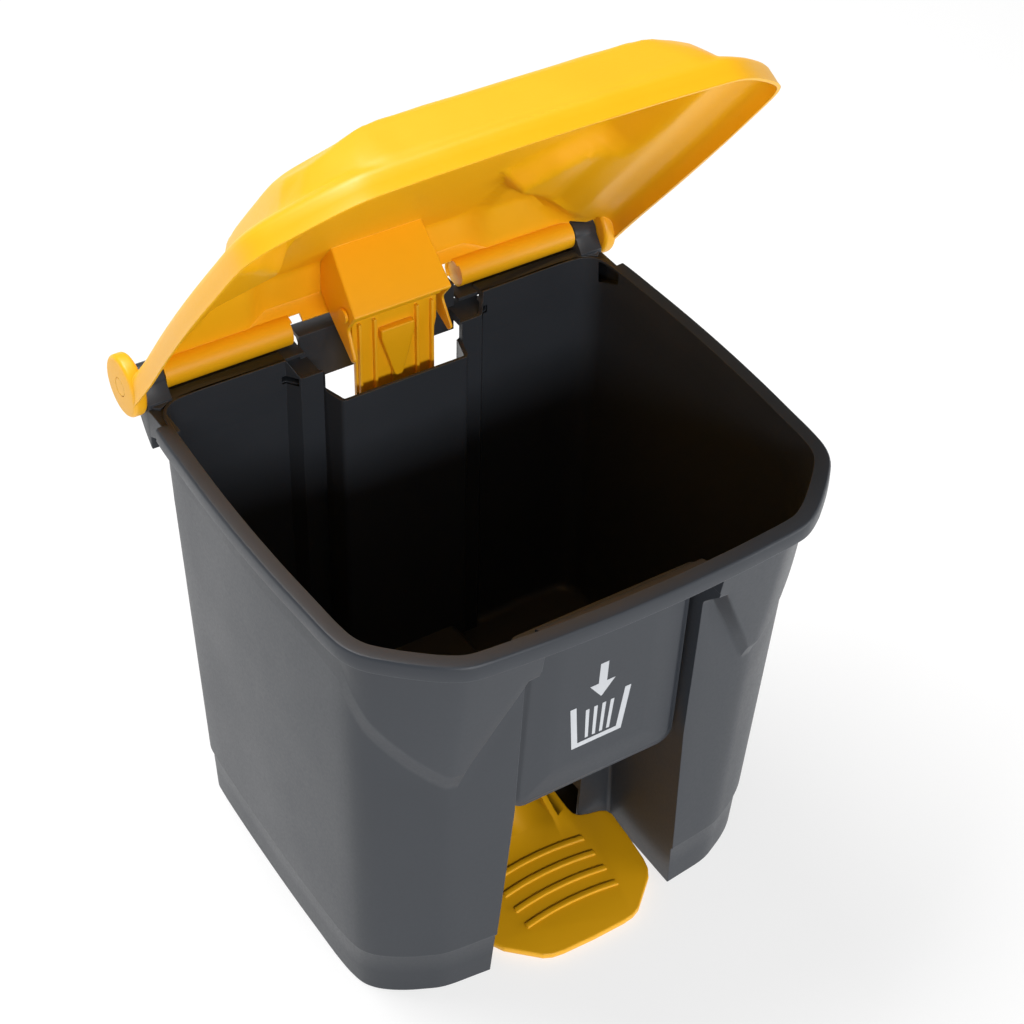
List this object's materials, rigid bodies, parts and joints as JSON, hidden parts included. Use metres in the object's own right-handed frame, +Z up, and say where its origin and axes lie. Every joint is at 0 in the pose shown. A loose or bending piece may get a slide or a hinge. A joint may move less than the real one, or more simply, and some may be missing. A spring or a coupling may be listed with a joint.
{
  "type": "pedal trash can",
  "caption": "Plastic trash can whose hinged lid is opened by a foot pedal through a lever and a push rod at the back.",
  "frame": {"origin": "centre of the floor footprint, with the lid open as in the rest position", "axes": "+Z up, -Y to the front where the pedal is, +X to the right as seen from behind the front"},
  "size_m": [0.4124, 0.3903, 0.6852],
  "materials": {
    "grey_plastic": "satin, fine moulded grain",
    "yellow_plastic": "satin, fine moulded grain",
    "steel": "drawn",
    "zinc": "zinc plated"
  },
  "bodies": {
    "can": {"bin_body": "grey_plastic", "axle_bracket_left": "grey_plastic", "axle_bracket_right": "grey_plastic", "bracket_screw_1": "zinc", "bracket_screw_2": "zinc", "bracket_screw_3": "zinc", "bracket_screw_4": "zinc", "pedal_axle": "steel", "axle_clip_left": "zinc", "axle_clip_right": "zinc"},
    "lid": {"lid": "yellow_plastic", "hinge_pin_left": "yellow_plastic", "hinge_pin_right": "yellow_plastic", "rod_top_pin": "yellow_plastic", "rod_top_clip": "yellow_plastic"},
    "push_rod": {"push_rod": "yellow_plastic", "rod_low_pin": "steel", "rod_low_clip": "zinc"},
    "pedal": {"pedal": "yellow_plastic"}
  },
  "joints": [
    {"name": "lid_hinge", "type": "hinge", "parent": "can", "child": "lid", "pos_m": [0, 0.171, 0.4], "axis": [1, 0, 0], "range_deg": [0, 51.4]},
    {"name": "rod_pivot", "type": "hinge", "parent": "lid", "child": "push_rod", "pos_m": [0, 0.13791, 0.42221], "axis": [1, 0, 0], "range_deg": [-50.3, 0]},
    {"name": "pedal_pivot", "type": "hinge", "parent": "can", "child": "pedal", "pos_m": [0, -0.015, 0.03], "axis": [1, 0, 0], "range_deg": [-13.1, 0]}
  ],
  "couplings": [
    {"joint": "rod_pivot", "follows": "lid_hinge", "ratio": -0.978},
    {"joint": "pedal_pivot", "follows": "lid_hinge", "ratio": -0.2547}
  ]
}
